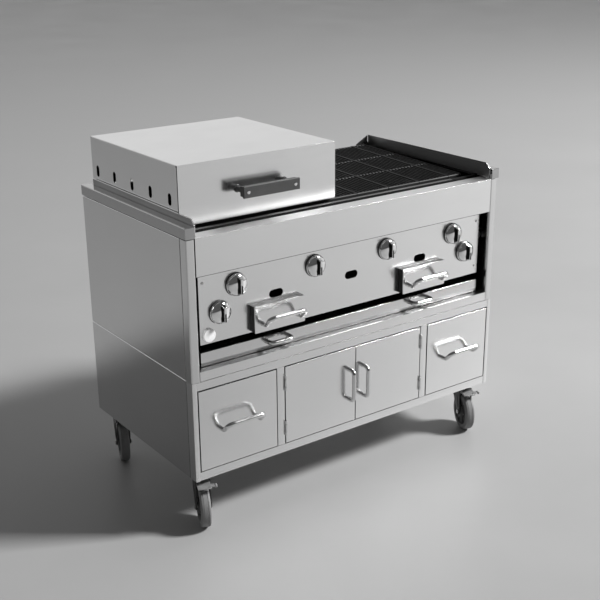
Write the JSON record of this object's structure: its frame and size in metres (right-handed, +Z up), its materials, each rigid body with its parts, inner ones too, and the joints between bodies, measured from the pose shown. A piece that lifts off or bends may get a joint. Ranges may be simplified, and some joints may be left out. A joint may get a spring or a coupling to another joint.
{
  "type": "charbroiler grill",
  "caption": "Wheeled gas charbroiler: low steel cabinet with drawers and doors, recessed control panel, wide drip tray, sloped grates, side guards and a hinged roasting lid.",
  "frame": {"origin": "on the floor, under the middle of the whole appliance's box", "axes": "+X across the front from left to right as the user faces it, +Y from front to back, +Z up"},
  "size_m": [1.156, 0.6895, 1.055],
  "materials": {
    "stainless_front": "satin brushed stainless sheet, front panels",
    "stainless_body": "satin stainless sheet, sides and hidden panels",
    "stainless_lid": "satin stainless sheet, lid",
    "stainless_pull": "polished stainless rod",
    "chrome": "polished",
    "bezel_dark": "satin black",
    "dial_white": "gloss",
    "firebox_steel": "heat-stained steel",
    "valve_brass": "dull",
    "cast_iron_black": "seasoned matt black",
    "lid_grip_dark": "matt dark grip",
    "caster_steel": "dark satin",
    "pedal_zinc": "zinc plated",
    "tyre_grey": "grey rubber tread"
  },
  "bodies": {
    "root": {"cabinet_sides": "stainless_body", "cabinet_back": "stainless_body", "cabinet_floor": "stainless_body", "cabinet_front_frame": "stainless_front", "cabinet_dividers": "stainless_body", "drawer_rails": "stainless_body", "door_hinge_pins": "stainless_pull", "body_sides": "stainless_body", "body_front_frame": "stainless_front", "side_caps": "stainless_body", "body_back": "stainless_body", "body_deck": "stainless_body", "fascia_panel": "stainless_front", "control_panel": "stainless_front", "knob_bezels": "bezel_dark", "temperature_dial": "dial_white", "panel_screws": "stainless_pull", "firebox_shell": "firebox_steel", "burners": "firebox_steel", "heat_radiants": "firebox_steel", "gas_manifold": "firebox_steel", "gas_valves": "valve_brass", "cooking_grates": "cast_iron_black", "grate_rails": "firebox_steel", "splash_guards": "stainless_body", "lid_hinge_brackets": "stainless_pull", "caster_plates": "caster_steel"},
    "lid": {"lid_shell": "stainless_lid", "lid_handle_grip": "lid_grip_dark", "lid_handle_posts": "lid_grip_dark"},
    "pilot_knob_left": {"pilot_knob_left": "chrome"},
    "pilot_knob_right": {"pilot_knob_right": "chrome"},
    "burner_knob_1": {"burner_knob_1": "chrome"},
    "burner_knob_2": {"burner_knob_2": "chrome"},
    "burner_knob_3": {"burner_knob_3": "chrome"},
    "burner_knob_4": {"burner_knob_4": "chrome"},
    "box_drawer_left": {"box_drawer_left": "stainless_front", "box_drawer_left_pull": "stainless_pull"},
    "box_drawer_right": {"box_drawer_right": "stainless_front", "box_drawer_right_pull": "stainless_pull"},
    "drip_tray": {"drip_tray": "stainless_front", "drip_tray_pulls": "stainless_pull"},
    "cabinet_drawer_left": {"cabinet_drawer_left": "stainless_front", "cabinet_drawer_left_pull": "stainless_pull"},
    "cabinet_drawer_right": {"cabinet_drawer_right": "stainless_front", "cabinet_drawer_right_pull": "stainless_pull"},
    "cupboard_door_left": {"cupboard_door_left": "stainless_front", "cupboard_door_left_pull": "stainless_pull"},
    "cupboard_door_right": {"cupboard_door_right": "stainless_front", "cupboard_door_right_pull": "stainless_pull"},
    "caster_front_left": {"caster_fork_front_left": "caster_steel"},
    "wheel_front_left": {"caster_wheel_front_left": "tyre_grey"},
    "pedal_front_left": {"brake_pedal_front_left": "pedal_zinc"},
    "caster_front_right": {"caster_fork_front_right": "caster_steel"},
    "wheel_front_right": {"caster_wheel_front_right": "tyre_grey"},
    "pedal_front_right": {"brake_pedal_front_right": "pedal_zinc"},
    "caster_rear_left": {"caster_fork_rear_left": "caster_steel"},
    "wheel_rear_left": {"caster_wheel_rear_left": "tyre_grey"},
    "caster_rear_right": {"caster_fork_rear_right": "caster_steel"},
    "wheel_rear_right": {"caster_wheel_rear_right": "tyre_grey"}
  },
  "joints": [
    {"name": "lid_hinge", "type": "hinge", "parent": "root", "child": "lid", "pos_m": [-0.2775, 0.31375, 0.909], "axis": [-1, 0, 0], "range_deg": [0, 90]},
    {"name": "pilot_knob_left_turn", "type": "hinge", "parent": "root", "child": "pilot_knob_left", "pos_m": [-0.464, -0.28525, 0.6475], "axis": [0, -1, 0], "range_deg": [0, 90]},
    {"name": "burner_knob_1_turn", "type": "hinge", "parent": "root", "child": "burner_knob_1", "pos_m": [-0.408, -0.28525, 0.717], "axis": [0, -1, 0], "range_deg": [0, 180]},
    {"name": "burner_knob_2_turn", "type": "hinge", "parent": "root", "child": "burner_knob_2", "pos_m": [-0.136, -0.28525, 0.717], "axis": [0, -1, 0], "range_deg": [0, 180]},
    {"name": "burner_knob_3_turn", "type": "hinge", "parent": "root", "child": "burner_knob_3", "pos_m": [0.136, -0.28525, 0.717], "axis": [0, -1, 0], "range_deg": [0, 180]},
    {"name": "burner_knob_4_turn", "type": "hinge", "parent": "root", "child": "burner_knob_4", "pos_m": [0.408, -0.28525, 0.717], "axis": [0, -1, 0], "range_deg": [0, 180]},
    {"name": "pilot_knob_right_turn", "type": "hinge", "parent": "root", "child": "pilot_knob_right", "pos_m": [0.464, -0.28525, 0.6475], "axis": [0, -1, 0], "range_deg": [0, 90]},
    {"name": "box_drawer_left_slide", "type": "slide", "parent": "root", "child": "box_drawer_left", "axis": [0, -1, 0], "range_m": [0, 0.12]},
    {"name": "box_drawer_right_slide", "type": "slide", "parent": "root", "child": "box_drawer_right", "axis": [0, -1, 0], "range_m": [0, 0.12]},
    {"name": "drip_tray_slide", "type": "slide", "parent": "root", "child": "drip_tray", "axis": [0, -1, 0], "range_m": [0, 0.35]},
    {"name": "cabinet_drawer_left_slide", "type": "slide", "parent": "root", "child": "cabinet_drawer_left", "axis": [0, -1, 0], "range_m": [0, 0.35]},
    {"name": "cabinet_drawer_right_slide", "type": "slide", "parent": "root", "child": "cabinet_drawer_right", "axis": [0, -1, 0], "range_m": [0, 0.35]},
    {"name": "cupboard_door_left_hinge", "type": "hinge", "parent": "root", "child": "cupboard_door_left", "pos_m": [-0.2645, -0.29905, 0.317], "axis": [0, 0, -1], "range_deg": [0, 85]},
    {"name": "cupboard_door_right_hinge", "type": "hinge", "parent": "root", "child": "cupboard_door_right", "pos_m": [0.2645, -0.29905, 0.317], "axis": [0, 0, 1], "range_deg": [0, 85]},
    {"name": "caster_front_left_swivel", "type": "hinge", "parent": "root", "child": "caster_front_left", "pos_m": [-0.523, -0.22925, 0.15], "axis": [0, 0, 1], "continuous": true},
    {"name": "wheel_front_left_roll", "type": "hinge", "parent": "caster_front_left", "child": "wheel_front_left", "pos_m": [-0.53611, -0.2617, 0.0625], "axis": [0.9272, -0.3746, 0], "continuous": true},
    {"name": "pedal_front_left_press", "type": "hinge", "parent": "caster_front_left", "child": "pedal_front_left", "pos_m": [-0.53574, -0.26077, 0.141], "axis": [0.9272, -0.3746, 0], "range_deg": [0, 12]},
    {"name": "caster_front_right_swivel", "type": "hinge", "parent": "root", "child": "caster_front_right", "pos_m": [0.523, -0.22925, 0.15], "axis": [0, 0, 1], "continuous": true},
    {"name": "wheel_front_right_roll", "type": "hinge", "parent": "caster_front_right", "child": "wheel_front_right", "pos_m": [0.50989, -0.2617, 0.0625], "axis": [0.9272, -0.3746, 0], "continuous": true},
    {"name": "pedal_front_right_press", "type": "hinge", "parent": "caster_front_right", "child": "pedal_front_right", "pos_m": [0.51026, -0.26077, 0.141], "axis": [0.9272, -0.3746, 0], "range_deg": [0, 12]},
    {"name": "caster_rear_left_swivel", "type": "hinge", "parent": "root", "child": "caster_rear_left", "pos_m": [-0.523, 0.27475, 0.15], "axis": [0, 0, 1], "continuous": true},
    {"name": "wheel_rear_left_roll", "type": "hinge", "parent": "caster_rear_left", "child": "wheel_rear_left", "pos_m": [-0.53497, 0.24186, 0.0625], "axis": [0.9397, -0.342, 0], "continuous": true},
    {"name": "caster_rear_right_swivel", "type": "hinge", "parent": "root", "child": "caster_rear_right", "pos_m": [0.523, 0.27475, 0.15], "axis": [0, 0, 1], "continuous": true},
    {"name": "wheel_rear_right_roll", "type": "hinge", "parent": "caster_rear_right", "child": "wheel_rear_right", "pos_m": [0.53206, 0.24094, 0.0625], "axis": [0.9659, 0.2588, 0], "continuous": true}
  ]
}
